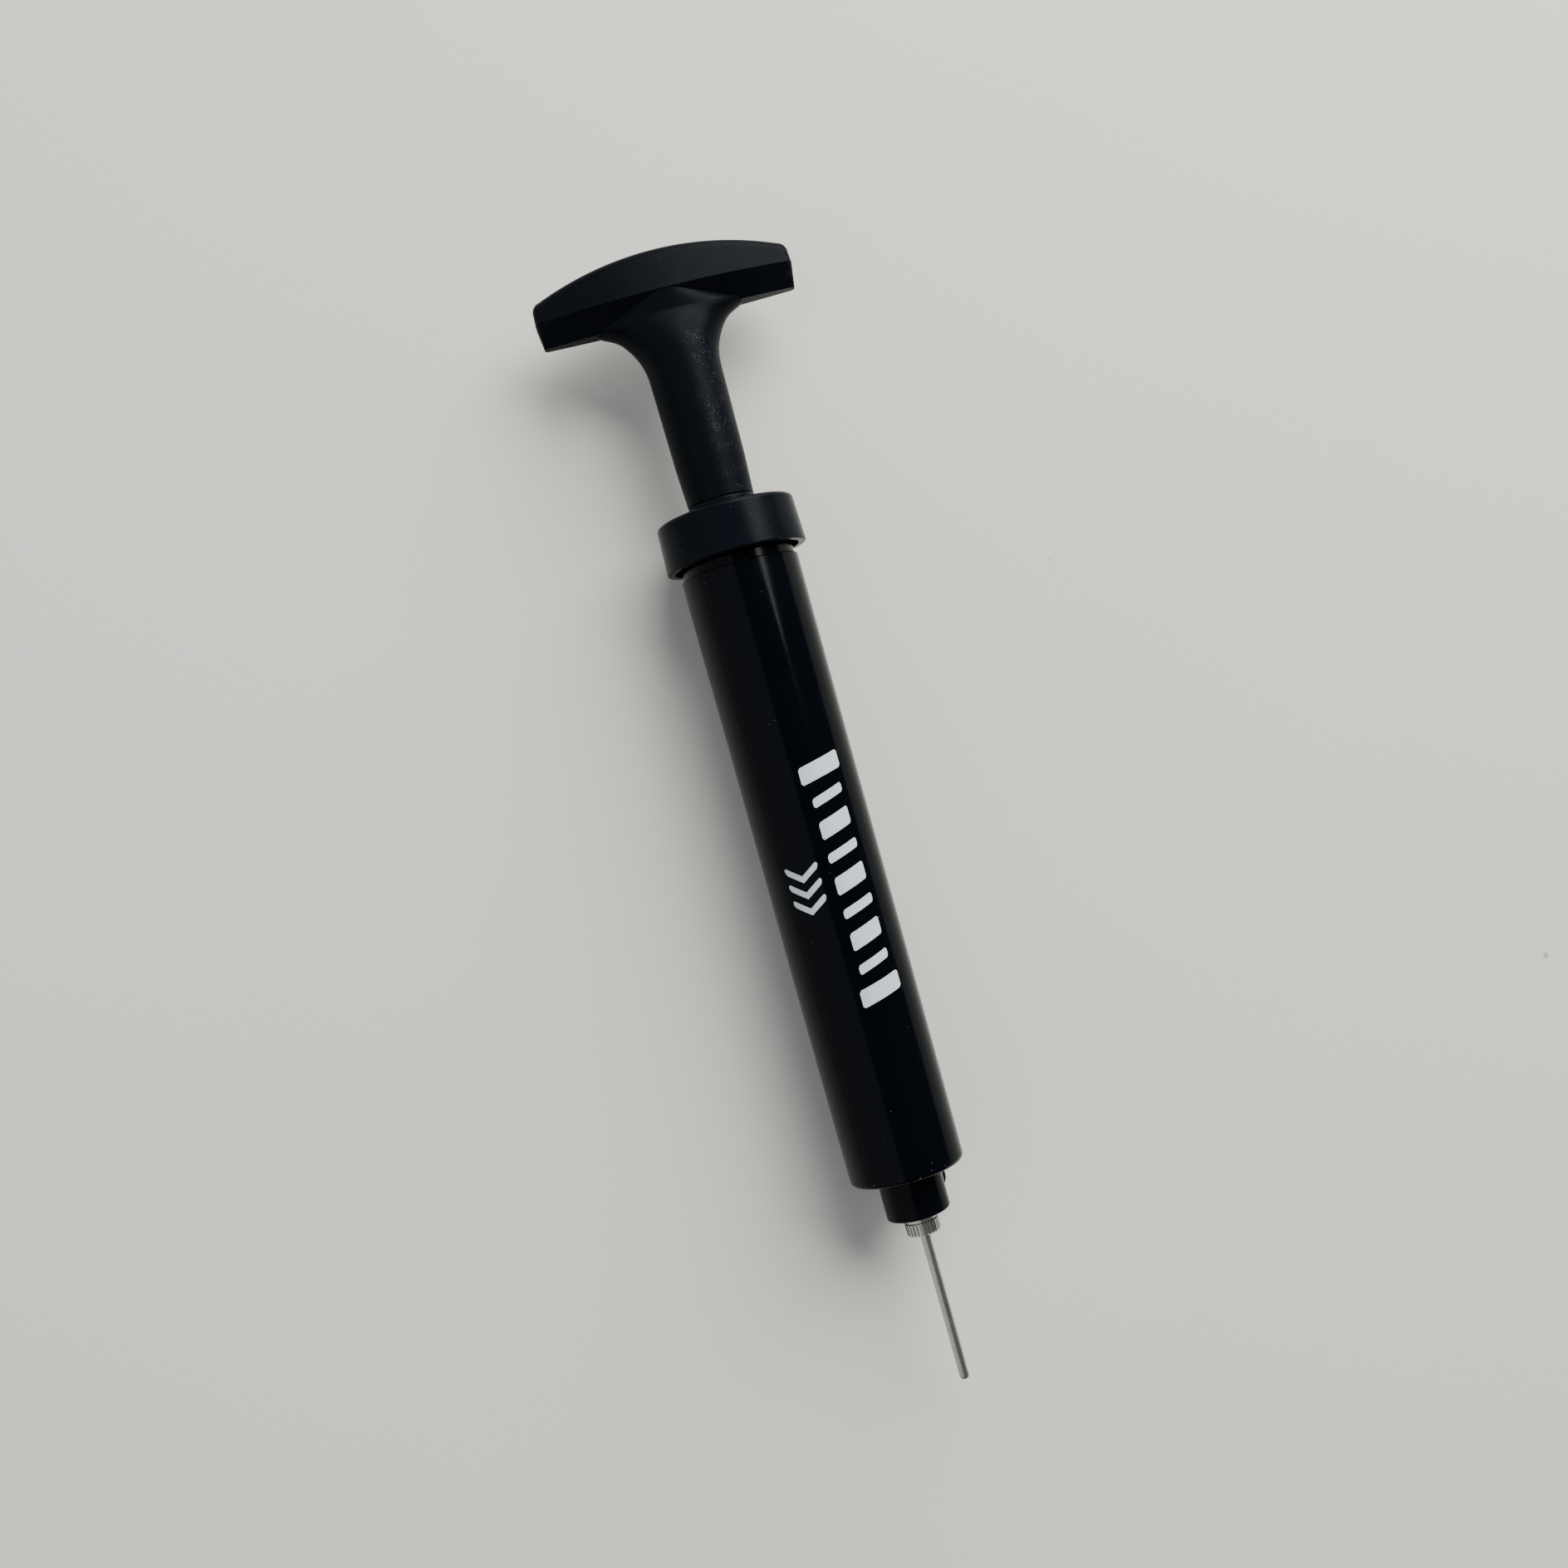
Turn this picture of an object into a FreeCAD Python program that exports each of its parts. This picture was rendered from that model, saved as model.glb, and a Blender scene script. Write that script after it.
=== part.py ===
import FreeCAD, Part
import math
import os
import Sketcher

# A hand pump for sports balls, lying on its side.
# Y runs along the pump from the needle tip (-Y) to the T handle (+Y), X runs along
# the T bar and Z is up. The table is Z = 0 and touches the lowest line of the cap.
# Every sub-part is drawn with its own +Z along the pump axis, then laid down along Y.
# "Station" means the distance along the axis from the flat end of the outlet boss.

DRIVING = [
    # barrel
    ("boss_radius", 7.24, "outlet boss, outside"),
    ("boss_length", 9.8, "outlet boss, length"),
    ("barrel_radius", 13.2, "barrel, outside, straight middle stretch"),
    ("barrel_foot_radius", 13.0, "barrel, outside, at the boss end"),
    ("barrel_head_radius", 13.35, "barrel, outside, below the neck"),
    ("barrel_length", 139.1, "barrel, from the boss shoulder to the neck step"),
    ("straight_start", 45.0, "start of the straight stretch above the boss shoulder"),
    ("straight_length", 45.0, "length of the straight stretch"),
    ("bore_radius", 11.4, "barrel bore"),
    ("floor_thickness", 2.8, "thickness of the closed end"),
    ("foot_round", 0.9, "barrel, round at the boss end"),
    ("boss_round", 0.5, "outlet boss, round at its end"),
    ("step_round", 0.3, "barrel, round at the neck step"),
    ("neck_radius", 12.75, "neck below the thread"),
    ("neck_length", 9.0, "neck, from the step to the mouth"),
    ("thread_depth", 0.7, "height of the coarse cap thread"),
    ("thread_start", 2.9, "cap thread, from the neck step to its first turn"),
    ("thread_foot", 1.3, "cap thread, width at its root"),
    ("thread_land", 0.3, "cap thread, width of its crest"),
    ("thread_sink", 0.2, "how far a thread is rooted in its wall"),
    ("thread_pitch", 3.0, "pitch of the cap thread"),
    ("thread_length", 4.2, "climb of the cap thread"),
    ("rib_reach", 12.5, "outer edge of the rib from the axis"),
    ("rib_length", 7.4, "rib, length below the barrel"),
    ("rib_thickness", 1.2, "rib, thickness"),
    ("rib_corner", 2.0, "rib, corner radius"),
    ("rib_root", 0.4, "how far the rib is rooted in the boss and the barrel"),
    ("rib_turn", 47, "rib, degrees below the middle on the +X side"),
    ("tick_width", 0.7, "moulded tick on the neck, width"),
    ("tick_rise", 0.2, "moulded tick, from the neck step"),
    ("tick_height", 1.5, "moulded tick, height"),
    ("tick_thickness", 0.5, "moulded tick, half of it stands out of the neck"),
    # cap
    ("cap_radius", 16.0, "cap, outside, at the skirt edge"),
    ("cap_top_radius", 15.6, "cap, outside, at the top"),
    ("cap_height", 10.8, "cap, height without the hub"),
    ("cap_lift", 2.2, "gap between neck step and skirt edge"),
    ("cap_skirt", 1.75, "thickness of the skirt"),
    ("cap_plate", 3.0, "thickness of the top"),
    ("cap_edge", 1.0, "round of the top edge"),
    ("skirt_round", 0.4, "round of the skirt edge"),
    ("cap_bite", 0.35, "crest of the inner thread outside the neck"),
    ("cap_thread_start", 2.2, "inner thread, from the skirt edge to its first turn"),
    ("cap_thread_climb", 2.7, "inner thread, climb"),
    ("hub_radius", 7.75, "raised hub, outside"),
    ("hub_height", 2.3, "raised hub, height"),
    ("hub_round", 0.4, "raised hub, round of its edge"),
    ("gasket_thickness", 1.0, "gasket on the barrel mouth"),
    # handle
    ("stem_foot_radius", 7.55, "stem radius at the lower end"),
    ("stem_foot_round", 0.5, "stem, round at the lower end"),
    ("stem_waist_radius", 7.95, "stem radius above the flare"),
    ("stem_top_radius", 8.25, "stem radius where the webs start"),
    ("stem_flare", 9.5, "height of the quick taper at the lower end"),
    ("stem_height", 42.3, "stem, up to the underside of the T bar"),
    ("stem_crease_radius", 7.2, "stem radius where it dies out at the crease"),
    ("web_height", 13.0, "webs between stem and T bar, height"),
    ("web_spread", 10.6, "webs, how far they reach out on each side"),
    ("web_thinning", 1.7, "webs, how much thinner than the stem at the underside"),
    ("web_bury", 0.5, "webs, how far they run into the T bar"),
    ("bar_half_length", 29.4, "T bar, half length at the crease"),
    ("bar_lower", 5.2, "T bar, underside to crease"),
    ("bar_end_rise", 4.35, "T bar, crease to the top corner at the ends"),
    ("bar_mid_rise", 9.6, "T bar, crease to the top at the middle"),
    ("bar_half_width", 7.3, "T bar, half width at the crease, at the middle"),
    ("bar_bow_radius", 116.0, "curve of the front and back faces, seen from the end"),
    ("bar_corner", 2.2, "corner radius of the T bar, seen from the end"),
    ("crown_lean", 0.14, "lean of the faces above the crease, width per height"),
    ("crown_taper", 0.5, "how much shorter the bar is at the top"),
    ("crown_round", 2.4, "round along the top"),
    ("keel_lean", 0.85, "lean of the faces below the crease, width per height"),
    ("keel_bow_radius", 240.0, "curve of the underside's edges, seen from the end"),
    ("keel_corner", 1.0, "corner radius of the underside, seen from the end"),
    ("keel_taper", 0.6, "how much shorter the bar is at the underside"),
    # rod and piston
    ("rod_radius", 3.2, "rod"),
    ("rod_grip", 34.0, "length of rod held in the stem"),
    ("rod_bevel", 0.6, "bevel of the rod's upper end"),
    ("rod_gap", 0.2, "rod end below the bottom of its socket"),
    ("socket_point", 1.5, "drill point of the socket"),
    ("groove_start", 6.0, "first grip groove above the stem foot"),
    ("groove_pitch", 5.0, "grip grooves, spacing"),
    ("groove_width", 2.0, "grip grooves, width"),
    ("groove_depth", 0.4, "grip grooves, depth"),
    ("journal_radius", 2.4, "turned-down end of the rod"),
    ("end_play", 0.1, "play of the piston between rod shoulder and washer"),
    ("cup_clearance", 1.0, "piston to barrel floor with the handle down"),
    ("cup_height", 5.6, "cup seal, lip to back"),
    ("cup_base", 1.2, "thickness of the flat of the cup seal"),
    ("cup_lip", 0.9, "thickness of the lip"),
    ("cup_radius", 11.35, "cup seal, outside"),
    ("piston_radius", 11.0, "piston body, outside"),
    ("piston_height", 6.0, "piston body, height"),
    ("land_height", 1.8, "piston body, height of each rim"),
    ("waist_depth", 1.2, "piston body, depth of the groove between the rims"),
    ("notch_radius", 1.4, "air notches in the rims, radius"),
    ("notch_count", 6, "air notches"),
    ("moulded_round", 0.4, "round of small moulded edges"),
    ("retainer_radius", 8.4, "cup retainer, outside"),
    ("retainer_height", 1.2, "cup retainer, thickness"),
    ("washer_radius", 4.4, "piston washer, outside"),
    ("washer_height", 0.8, "piston washer, thickness"),
    ("screw_radius", 1.5, "piston screw, shank"),
    ("screw_length", 9.0, "piston screw, shank length"),
    ("screw_head_radius", 2.8, "piston screw, head"),
    ("screw_head_height", 1.9, "piston screw, head height"),
    ("screw_head_round", 0.7, "piston screw, round of the head"),
    ("screw_slot_length", 3.0, "piston screw, length of the cross slots"),
    ("screw_slot_width", 0.6, "piston screw, width of the cross slots"),
    ("screw_slot_depth", 1.0, "piston screw, depth of the cross slots"),
    ("screw_hole_spare", 0.5, "screw hole, depth beyond the screw"),
    ("screw_hole_point", 0.9, "screw hole, drill point"),
    ("washer_bevel", 0.15, "piston washer, bevel and clearance on the screw"),
    ("bumper_radius", 8.2, "bumper ring, outside"),
    ("bumper_height", 3.0, "bumper ring, height"),
    ("bumper_round", 0.8, "bumper ring, round"),
    # guide
    ("bush_radius", 5.6, "guide bush, outside"),
    ("bush_flange_radius", 9.0, "guide bush, flange"),
    ("bush_flange", 1.6, "guide bush, flange thickness"),
    ("bush_length", 3.7, "guide bush, sleeve above the flange"),
    ("air_slot_radius", 0.6, "air slots along the bore of the bush"),
    ("air_slot_sink", 0.2, "air slots, centre outside the bore"),
    ("air_slot_count", 3, "air slots"),
    ("wiper_radius", 5.2, "rod wiper, outside"),
    ("wiper_height", 1.2, "rod wiper, thickness"),
    ("wiper_gap", 0.1, "room under the wiper"),
    ("wiper_funnel", 0.3, "widening of the cap's hole below the wiper"),
    ("gasket_overlap", 0.8, "gasket, how far it reaches over the bore"),
    ("gasket_reach", 0.6, "gasket, how far it reaches beyond the neck"),
    # outlet and check valve
    ("insert_radius", 4.6, "threaded insert, outside"),
    ("insert_length", 5.0, "threaded insert, length"),
    ("insert_sink", 1.0, "threaded insert, below the boss end"),
    ("insert_bevel", 0.5, "threaded insert, bevel of its mouth"),
    ("insert_play", 0.08, "threaded insert, bore outside the needle thread"),
    ("flute_radius", 0.4, "flutes round the insert, radius"),
    ("flute_end", 0.6, "flutes, plain band at each end"),
    ("flute_sink", 0.1, "flutes, centre outside the insert"),
    ("flute_count", 18, "flutes"),
    ("needle_thread_radius", 2.5, "needle thread, crest"),
    ("needle_thread_pitch", 0.8, "needle thread, pitch"),
    ("chamber_radius", 3.0, "valve chamber"),
    ("cage_height", 0.9, "valve cage, thickness"),
    ("flow_hole_radius", 0.45, "valve cage, flow holes"),
    ("flow_hole_circle", 1.9, "valve cage, circle of the flow holes"),
    ("flow_hole_count", 5, "flow holes"),
    ("ball_radius", 1.5, "valve ball"),
    ("seat_height", 1.1, "valve seat, thickness"),
    ("seat_cover", 0.9, "barrel floor above the valve seat"),
    ("ball_gap", 0.02, "ball to seat with the valve shut"),
    ("port_radius", 1.1, "outlet port"),
    ("spring_radius", 0.95, "valve spring, middle of the wire"),
    ("spring_wire", 0.125, "valve spring, wire radius"),
    ("spring_turns", 3, "valve spring, turns"),
    ("spring_gap", 0.02, "valve spring to cage"),
    ("spring_room", 0.12, "valve spring to ball"),
    # needle
    ("collar_radius", 3.6, "needle hub, plain collar"),
    ("collar_height", 1.5, "needle hub, collar length"),
    ("knurl_radius", 3.85, "needle hub, knurled grip"),
    ("knurl_height", 3.0, "needle hub, grip length"),
    ("knurl_bevel", 0.35, "needle hub, bevel at the lower end"),
    ("knurl_shoulder", 0.2, "needle hub, bevel between grip and collar"),
    ("knurl_groove", 0.34, "grooves of the grip, width"),
    ("knurl_depth", 0.33, "grooves of the grip, depth"),
    ("knurl_count", 28, "grooves round the grip"),
    ("needle_thread_depth", 0.45, "needle thread, depth"),
    ("needle_thread_foot", 0.74, "needle thread, width at its root"),
    ("needle_thread_land", 0.08, "needle thread, width of its crest"),
    ("needle_thread_start", 1.05, "needle thread, from the collar to its first turn"),
    ("stub_gap", 0.4, "threaded stub below the top of the insert"),
    ("tube_radius", 1.12, "needle tube, outside"),
    ("tube_bore", 0.62, "needle tube, inside"),
    ("tube_neck", 0.2, "needle tube, turned down inside the hub by this much"),
    ("tube_sunk", 0.95, "needle tube, reach beyond the collar"),
    ("tube_reach", 38.5, "needle tip below the boss end"),
    ("tip_hole", 0.35, "needle tip, radius of the end hole"),
    ("tip_wall", 0.6, "needle tip, length of the end hole"),
    ("port_low", 2.4, "side port above the tip"),
    ("port_height", 1.2, "side port, length along the tube"),
    ("port_width", 0.7, "side port, width"),
    ("washer_outside", 4.3, "needle washer, outside radius"),
    ("washer_play", 0.12, "needle washer, bore outside the thread"),
    ("needle_washer_round", 0.25, "needle washer, round of its edge"),
    # fits
    ("running_fit", 0.05, "radial clearance of parts that turn or slide"),
    ("seated_fit", 0.03, "radial clearance of parts that are fixed"),
]

VALUES = {name: value for name, value, note in DRIVING}


class Size:
    """A length that carries its number and the sheet formula it comes from."""

    def __init__(self, value, formula):
        self.value = float(value)
        self.formula = formula

    def joined(self, sign, other, value):
        return Size(value, "(" + self.formula + " " + sign + " " + as_size(other).formula + ")")

    def __add__(self, other):
        return self.joined("+", other, self.value + as_size(other).value)

    def __sub__(self, other):
        return self.joined("-", other, self.value - as_size(other).value)

    def __mul__(self, other):
        return self.joined("*", other, self.value * as_size(other).value)

    def __truediv__(self, other):
        return self.joined("/", other, self.value / as_size(other).value)

    def __neg__(self):
        return Size(-self.value, "(0 - " + self.formula + ")")


def as_size(number):
    """Let plain numbers stand beside sheet sizes."""
    if isinstance(number, Size):
        return number
    return Size(number, format(float(number), "g"))


def dim(name):
    """One driving dimension, by the name it has in the sheet."""
    return Size(VALUES[name], "Dims." + name)


def root(size):
    """Square root of a sheet size."""
    return Size(math.sqrt(size.value), "sqrt(" + size.formula + ")")


# Stations along the axis, each worked out from the driving dimensions.
ZERO = Size(0, "0")
BARREL_SHOULDER = dim("boss_length")
FLOOR = BARREL_SHOULDER + dim("floor_thickness")
NECK_STEP = BARREL_SHOULDER + dim("barrel_length")
MOUTH = NECK_STEP + dim("neck_length")
CAP_BOTTOM = NECK_STEP + dim("cap_lift")
CAP_TOP = CAP_BOTTOM + dim("cap_height")
STEM_FOOT = CAP_TOP + dim("hub_height")
BAR_UNDERSIDE = STEM_FOOT + dim("stem_height")
BAR_CREASE = BAR_UNDERSIDE + dim("bar_lower")
BAR_TOP = BAR_CREASE + dim("bar_mid_rise")
LIP = FLOOR + dim("cup_clearance")
CUP_BACK = LIP + dim("cup_height")
PISTON_BACK = CUP_BACK + dim("piston_height")
ROD_END = CUP_BACK - dim("cup_base") - dim("retainer_height") - dim("end_play")
INSERT_TOP = dim("insert_sink") + dim("insert_length")
CAGE_TOP = INSERT_TOP + dim("cage_height")
SEAT_TOP = FLOOR - dim("seat_cover")
SEAT_BOTTOM = SEAT_TOP - dim("seat_height")
MIDDLE = (BAR_TOP - dim("tube_reach")) / 2.0

doc = FreeCAD.newDocument("ball_pump")


def fill_sheet():
    """Write the driving dimensions into the sheet, one named cell per row."""
    sheet = doc.addObject("Spreadsheet::Sheet", "Dims")
    for row, (name, value, note) in enumerate(DRIVING, start=1):
        sheet.set("A" + str(row), note)
        sheet.set("B" + str(row), format(value, "g"))
        sheet.setAlias("B" + str(row), name)
    doc.recompute()


def new_body(label, station):
    """An empty sub-part whose +Z lies along the pump axis, starting at a station."""
    body = doc.addObject("PartDesign::Body", label)
    body.Label = label
    body.Placement = FreeCAD.Placement(
        FreeCAD.Vector(0, (station - MIDDLE).value, dim("cap_radius").value),
        FreeCAD.Rotation(FreeCAD.Vector(1, 0, 0), -90),
    )
    body.setExpression("Placement.Base.y", (station - MIDDLE).formula)
    body.setExpression("Placement.Base.z", dim("cap_radius").formula)
    return body


def new_sketch(body, name, plane_role, lift=ZERO):
    """A sketch on one of the body's own planes, lifted along the plane's normal."""
    sketch = body.newObject("Sketcher::SketchObject", name)
    plane = [f for f in body.Origin.OriginFeatures if f.Role == plane_role][0]
    sketch.AttachmentSupport = [(plane, "")]
    sketch.MapMode = "FlatFace"
    if lift.value != 0:
        sketch.AttachmentOffset = FreeCAD.Placement(
            FreeCAD.Vector(0, 0, lift.value), FreeCAD.Rotation()
        )
        sketch.setExpression("AttachmentOffset.Base.z", lift.formula)
    return sketch


def bind(sketch, index, size):
    """Drive one sketch constraint from the sheet."""
    sketch.setExpression("Constraints[" + str(index) + "]", size.formula)


def pin(sketch, kind, edge, point, size):
    """Hold one coordinate of a sketch point at a distance from the sketch origin."""
    axis = -2 if kind == "DistanceX" else -1
    if size.value == 0:
        sketch.addConstraint(Sketcher.Constraint("PointOnObject", edge, point, axis))
    elif size.value > 0:
        index = sketch.addConstraint(
            Sketcher.Constraint(kind, -1, 1, edge, point, size.value)
        )
        bind(sketch, index, size)
    else:
        index = sketch.addConstraint(
            Sketcher.Constraint(kind, edge, point, -1, 1, -size.value)
        )
        bind(sketch, index, -size)


def arc_between(start, end, radius, side):
    """The shorter arc between two points; side is +1 when it bulges to the left."""
    chord = end - start
    middle = start + chord * 0.5
    left = FreeCAD.Vector(-chord.y, chord.x, 0).normalize()
    sag = math.sqrt(max(radius ** 2 - (chord.Length / 2) ** 2, 0))
    centre = middle - left * (side * sag)
    circle = Part.Circle(centre, FreeCAD.Vector(0, 0, 1), radius)
    first, last = (end, start) if side > 0 else (start, end)
    angles = [math.atan2((p - centre).y, (p - centre).x) for p in (first, last)]
    return Part.ArcOfCircle(circle, angles[0], angles[1])


def draw_outline(sketch, corners):
    """A closed outline through corners (x, y) or (x, y, radius, side).

    A corner with a radius is reached along an arc instead of a straight line.
    Every corner is pinned to the sheet.
    """
    sizes = [(as_size(c[0]), as_size(c[1])) for c in corners]
    places = [FreeCAD.Vector(x.value, y.value, 0) for x, y in sizes]
    count = len(corners)
    start_points = []
    end_points = []
    for i in range(count):
        following = (i + 1) % count
        start, end, goal = places[i], places[following], corners[following]
        if len(goal) == 2:
            sketch.addGeometry(Part.LineSegment(start, end))
            start_points.append(1)
            end_points.append(2)
        else:
            radius, side = as_size(goal[2]), goal[3]
            sketch.addGeometry(arc_between(start, end, radius.value, side))
            start_points.append(2 if side > 0 else 1)
            end_points.append(1 if side > 0 else 2)
            index = sketch.addConstraint(Sketcher.Constraint("Radius", i, radius.value))
            bind(sketch, index, radius)
    for i in range(count):
        following = (i + 1) % count
        sketch.addConstraint(
            Sketcher.Constraint(
                "Coincident", i, end_points[i], following, start_points[following]
            )
        )
        pin(sketch, "DistanceX", i, start_points[i], sizes[i][0])
        pin(sketch, "DistanceY", i, start_points[i], sizes[i][1])


def turn(body, name, corners, groove=False):
    """Turn a half section (radius, height) around the body's Z axis."""
    sketch = new_sketch(body, name + "_section", "XZ_Plane")
    draw_outline(sketch, corners)
    kind = "PartDesign::Groove" if groove else "PartDesign::Revolution"
    feature = body.newObject(kind, name)
    feature.Profile = sketch
    feature.ReferenceAxis = (sketch, ["V_Axis"])
    feature.Angle = 360
    return feature


def tube(body, name, inner, outer, low, high):
    """A plain ring."""
    return turn(body, name, [(inner, low), (outer, low), (outer, high), (inner, high)])


def slab(body, name, corners, plane_role, thickness, cut=False, lift=ZERO):
    """Pad or cut an outline by a thickness, half to each side of its plane."""
    sketch = new_sketch(body, name + "_outline", plane_role, lift)
    draw_outline(sketch, corners)
    kind = "PartDesign::Pocket" if cut else "PartDesign::Pad"
    feature = body.newObject(kind, name)
    feature.Profile = sketch
    feature.SideType = "Symmetric"
    feature.Length = as_size(thickness).value
    feature.setExpression("Length", as_size(thickness).formula)
    return feature


def drill(body, name, centre_x, centre_y, radius, low, high):
    """A round hole along Z between two heights."""
    depth = high - low
    sketch = new_sketch(body, name + "_circle", "XY_Plane", low + depth / 2.0)
    circle = Part.Circle(
        FreeCAD.Vector(centre_x.value, centre_y.value, 0), FreeCAD.Vector(0, 0, 1), radius.value
    )
    sketch.addGeometry(circle)
    index = sketch.addConstraint(Sketcher.Constraint("Radius", 0, radius.value))
    bind(sketch, index, radius)
    pin(sketch, "DistanceX", 0, 3, centre_x)
    pin(sketch, "DistanceY", 0, 3, centre_y)
    feature = body.newObject("PartDesign::Pocket", name)
    feature.Profile = sketch
    feature.SideType = "Symmetric"
    feature.Length = depth.value
    feature.setExpression("Length", depth.formula)
    return feature


def around(body, name, feature, count):
    """Repeat a feature evenly around the Z axis."""
    pattern = body.newObject("PartDesign::PolarPattern", name)
    pattern.Originals = [feature]
    pattern.Axis = (feature.Profile[0], ["N_Axis"])
    pattern.Angle = 360
    pattern.Occurrences = int(count.value)
    pattern.setExpression("Occurrences", count.formula)
    body.Tip = pattern
    return pattern


def swing(sketch, degrees):
    """Turn an upright sketch around the pump axis."""
    sketch.AttachmentOffset = FreeCAD.Placement(
        FreeCAD.Vector(0, 0, 0), FreeCAD.Rotation(FreeCAD.Vector(0, 1, 0), degrees.value)
    )


def coil(body, name, sketch, pitch, climb):
    """Wind a sketch around the pump axis, given its pitch and its climb."""
    feature = body.newObject("PartDesign::AdditiveHelix", name)
    feature.Profile = sketch
    feature.ReferenceAxis = (sketch, ["V_Axis"])
    feature.Mode = 0
    feature.Pitch = pitch.value
    feature.Height = climb.value
    feature.setExpression("Pitch", pitch.formula)
    feature.setExpression("Height", climb.formula)
    return feature


def wind(body, name, corners, pitch, climb):
    """Wind a small section (radius, height) around Z as a thread."""
    sketch = new_sketch(body, name + "_section", "XZ_Plane")
    draw_outline(sketch, corners)
    return coil(body, name, sketch, pitch, climb)


def soften(body, name, feature, radius, chosen, bevel=False):
    """Round or bevel the edges of a feature that the test picks out."""
    doc.recompute()
    edges = [
        "Edge" + str(i)
        for i, edge in enumerate(feature.Shape.Edges, start=1)
        if chosen(edge)
    ]
    kind = "PartDesign::Chamfer" if bevel else "PartDesign::Fillet"
    result = body.newObject(kind, name)
    result.Base = (feature, edges)
    size_property = "Size" if bevel else "Radius"
    setattr(result, size_property, as_size(radius).value)
    result.setExpression(size_property, as_size(radius).formula)
    return result


def ring_edge(radius, height):
    """A test for the round edge at a given radius and height."""

    def chosen(edge):
        box = edge.BoundBox
        flat = box.ZLength < 0.001 and abs(box.ZMin - height.value) < 0.001
        return flat and abs(box.XMax - radius.value) < 0.01

    return chosen


def ridge(wall_radius, crest_radius, start):
    """Section of the coarse cap thread, rooted in a wall and rising to its crest."""
    slope = (dim("thread_foot") - dim("thread_land")) / 2.0
    return [
        (wall_radius, start),
        (crest_radius, start + slope),
        (crest_radius, start + slope + dim("thread_land")),
        (wall_radius, start + dim("thread_foot")),
    ]


def build_barrel():
    """Tube with closed end, outlet boss, valve chamber, rib and threaded neck."""
    body = new_body("barrel", ZERO)
    straight_low = BARREL_SHOULDER + dim("straight_start")
    straight_high = straight_low + dim("straight_length")
    outside = turn(
        body,
        "outside",
        [
            (0, 0),
            (dim("boss_radius"), 0),
            (dim("boss_radius"), BARREL_SHOULDER),
            (dim("barrel_foot_radius"), BARREL_SHOULDER),
            (dim("barrel_radius"), straight_low),
            (dim("barrel_radius"), straight_high),
            (dim("barrel_head_radius"), NECK_STEP),
            (dim("neck_radius"), NECK_STEP),
            (dim("neck_radius"), MOUTH),
            (0, MOUTH),
        ],
    )
    foot_rim = ring_edge(dim("barrel_foot_radius"), BARREL_SHOULDER)
    foot = soften(body, "foot_round", outside, dim("foot_round"), foot_rim)
    boss_rim = ring_edge(dim("boss_radius"), ZERO)
    boss = soften(body, "boss_round", foot, dim("boss_round"), boss_rim)
    step_rim = ring_edge(dim("barrel_head_radius"), NECK_STEP)
    soften(body, "step_round", boss, dim("step_round"), step_rim)
    recess = dim("insert_radius") + dim("seated_fit")
    turn(
        body,
        "hollow",
        [
            (0, 0),
            (recess, 0),
            (recess, INSERT_TOP),
            (dim("chamber_radius"), INSERT_TOP),
            (dim("chamber_radius"), SEAT_TOP),
            (dim("port_radius"), SEAT_TOP),
            (dim("port_radius"), FLOOR),
            (dim("bore_radius"), FLOOR),
            (dim("bore_radius"), MOUTH),
            (0, MOUTH),
        ],
        groove=True,
    )
    rib_inside = dim("boss_radius") - dim("rib_root")
    rib_low = BARREL_SHOULDER - dim("rib_length")
    rib_high = BARREL_SHOULDER + dim("rib_root")
    rib = slab(
        body,
        "rib",
        [
            (rib_inside, rib_high),
            (rib_inside, rib_low),
            (dim("rib_reach") - dim("rib_corner"), rib_low),
            (dim("rib_reach"), rib_low + dim("rib_corner"), dim("rib_corner"), -1),
            (dim("rib_reach"), rib_high),
        ],
        "XZ_Plane",
        dim("rib_thickness"),
    )
    swing(rib.Profile[0], dim("rib_turn"))
    tick_low = NECK_STEP + dim("tick_rise")
    half_tick = dim("tick_width") / 2.0
    slab(
        body,
        "neck_tick",
        [
            (-half_tick, tick_low),
            (half_tick, tick_low),
            (half_tick, tick_low + dim("tick_height")),
            (-half_tick, tick_low + dim("tick_height")),
        ],
        "XZ_Plane",
        dim("tick_thickness"),
        lift=dim("neck_radius"),
    )
    wall = dim("neck_radius") - dim("thread_sink")
    crest = dim("neck_radius") + dim("thread_depth")
    start = NECK_STEP + dim("thread_start")
    wind(body, "cap_thread", ridge(wall, crest, start), dim("thread_pitch"), dim("thread_length"))


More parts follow.
